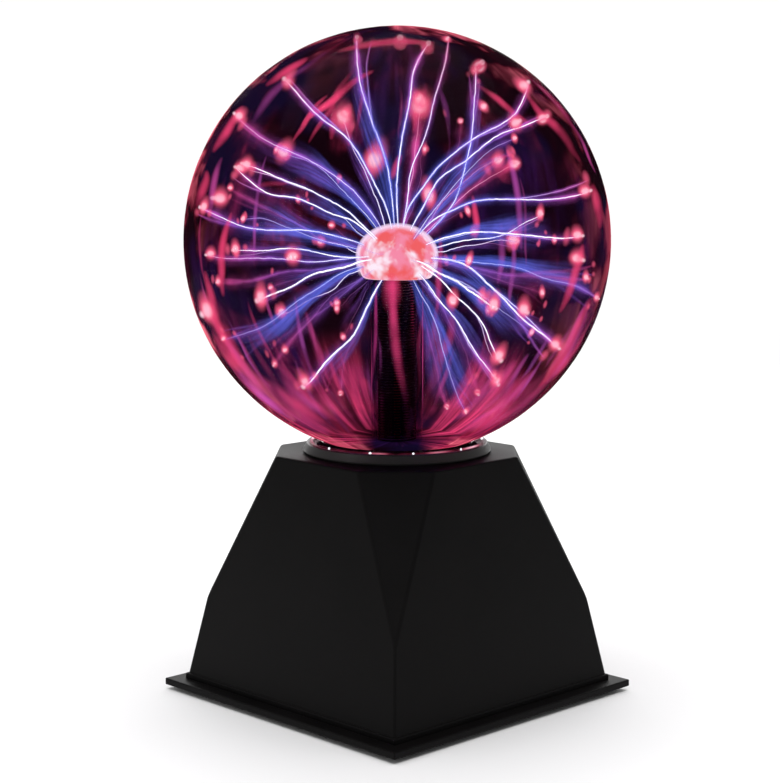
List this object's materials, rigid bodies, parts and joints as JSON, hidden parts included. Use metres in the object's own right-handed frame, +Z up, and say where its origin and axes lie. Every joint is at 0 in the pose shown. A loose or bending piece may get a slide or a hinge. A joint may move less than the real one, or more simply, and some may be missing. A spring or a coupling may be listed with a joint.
{
  "type": "plasma ball",
  "caption": "Glass globe on a black faceted base, with a glass stem and electrode inside, a driver circuit in the base, a rocker switch and a supply jack.",
  "frame": {"origin": "on the surface the ball stands on, below the globe's centre", "axes": "+Z up through the stem and globe; the base's flat sides face X and Y, and the back, with the switch and the jack, faces +Y"},
  "size_m": [0.196, 0.196, 0.3052],
  "materials": {
    "housing_black": "fine matt moulded ABS",
    "satin_black": "satin moulded plastic",
    "rocker_black": "gloss",
    "rubber_black": "matt rubber",
    "gasket_foam": "soft foam rubber",
    "globe_glass": "clear polished glass",
    "electrode_glow": "conductive coating, lit salmon pink",
    "coil_wire": "close-wound dark wire",
    "wire_red": "smooth insulation",
    "wire_black": "smooth insulation",
    "board_green": "solder mask over glass epoxy",
    "ferrite": "ground ferrite",
    "bobbin_black": "moulded",
    "copper_winding": "enamelled copper wire",
    "aluminium": "extruded, bare",
    "zinc_steel": "zinc plated",
    "nickel": "nickel plated",
    "capacitor_sleeve": "printed-free plastic sleeve",
    "film_orange": "dipped resin",
    "trimmer_blue": "moulded"
  },
  "bodies": {
    "root": {"base_housing": "housing_black", "base_cover": "housing_black", "neck_cradle": "housing_black", "neck_collar": "satin_black", "switch_frame": "satin_black", "supply_jack": "satin_black", "rubber_foot_1": "rubber_black", "rubber_foot_2": "rubber_black", "rubber_foot_3": "rubber_black", "rubber_foot_4": "rubber_black", "rim_cushion": "rubber_black", "stem_plug": "rubber_black", "microphone_grommet": "rubber_black", "neck_gasket": "gasket_foam", "globe_glass": "globe_glass", "globe_neck": "globe_glass", "stem_glass": "globe_glass", "exhaust_tip": "globe_glass", "electrode_lining": "electrode_glow", "stem_coil": "coil_wire", "high_voltage_lead": "wire_red", "wire_audio_to_board": "wire_red", "wire_jack_to_switch": "wire_red", "wire_microphone": "wire_red", "wire_switch_to_board": "wire_red", "wire_jack_ground": "wire_black", "driver_board": "board_green", "core_lower": "ferrite", "core_upper": "ferrite", "bobbin": "bobbin_black", "oscillator_chip": "bobbin_black", "power_transistor": "bobbin_black", "coil_winding": "copper_winding", "heat_sink": "aluminium", "cover_screw_1": "zinc_steel", "cover_screw_2": "zinc_steel", "cover_screw_3": "zinc_steel", "cover_screw_4": "zinc_steel", "cradle_screw_1": "zinc_steel", "cradle_screw_2": "zinc_steel", "cradle_screw_3": "zinc_steel", "cradle_screw_4": "zinc_steel", "board_screw_1": "zinc_steel", "board_screw_2": "zinc_steel", "board_screw_3": "zinc_steel", "board_screw_4": "zinc_steel", "transistor_screw": "zinc_steel", "jack_nut": "nickel", "jack_pin": "nickel", "switch_blade_1": "nickel", "switch_blade_2": "nickel", "switch_blade_3": "nickel", "microphone": "nickel", "supply_capacitor": "capacitor_sleeve", "timing_capacitor": "capacitor_sleeve", "film_capacitor": "film_orange", "gain_trimmer": "trimmer_blue"},
    "rocker": {"rocker": "rocker_black"}
  },
  "joints": [
    {"name": "rocker_tilt", "type": "hinge", "parent": "root", "child": "rocker", "pos_m": [0.016, 0.06233, 0.02757], "axis": [1, 0, 0], "range_deg": [0, 22]}
  ]
}
